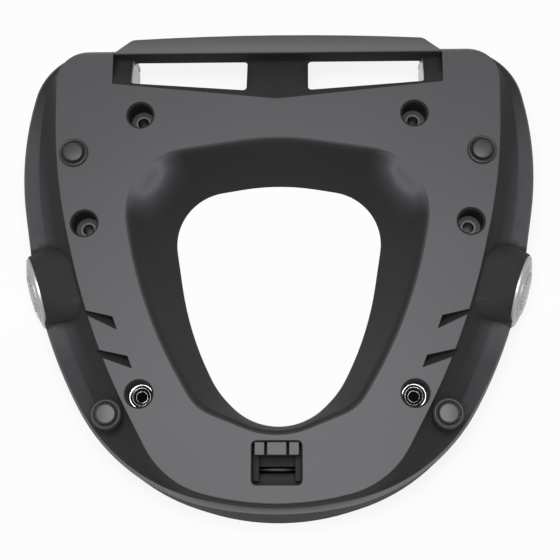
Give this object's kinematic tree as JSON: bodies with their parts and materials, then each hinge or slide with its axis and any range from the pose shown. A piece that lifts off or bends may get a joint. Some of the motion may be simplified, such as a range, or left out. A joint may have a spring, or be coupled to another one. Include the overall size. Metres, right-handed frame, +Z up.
{
  "type": "top case mounting plate",
  "caption": "Moulded plate that bolts to a motorbike carrier and holds a top case by a hook bar in front and a latch pocket behind.",
  "frame": {"origin": "middle of the bounding box at the lower rim's height", "axes": "+X to the plate's right seen from above with the hook bar away from the viewer, +Y to the hook bar, +Z up out of the deck"},
  "size_m": [0.3304, 0.3104, 0.0484],
  "materials": {
    "shell_plastic": "fine spark-eroded grain, dark grey",
    "insert_plastic": "fine grain, dark grey",
    "bush_steel": "dull zinc",
    "cup_steel": "polished",
    "strike_steel": "satin",
    "screw_steel": "dull zinc",
    "buffer_rubber": "smooth",
    "badge_silver": "satin silver paint"
  },
  "bodies": {
    "root": {"plate_body": "shell_plastic", "latch_receiver": "insert_plastic", "strike_bar": "strike_steel", "front_bush_left": "bush_steel", "middle_bush_left": "bush_steel", "rear_bush_left": "cup_steel", "front_buffer_left": "buffer_rubber", "rear_buffer_left": "buffer_rubber", "badge_left": "badge_silver", "receiver_screw_left": "screw_steel", "front_bush_right": "bush_steel", "middle_bush_right": "bush_steel", "rear_bush_right": "cup_steel", "front_buffer_right": "buffer_rubber", "rear_buffer_right": "buffer_rubber", "badge_right": "badge_silver", "receiver_screw_right": "screw_steel"}
  },
  "joints": []
}
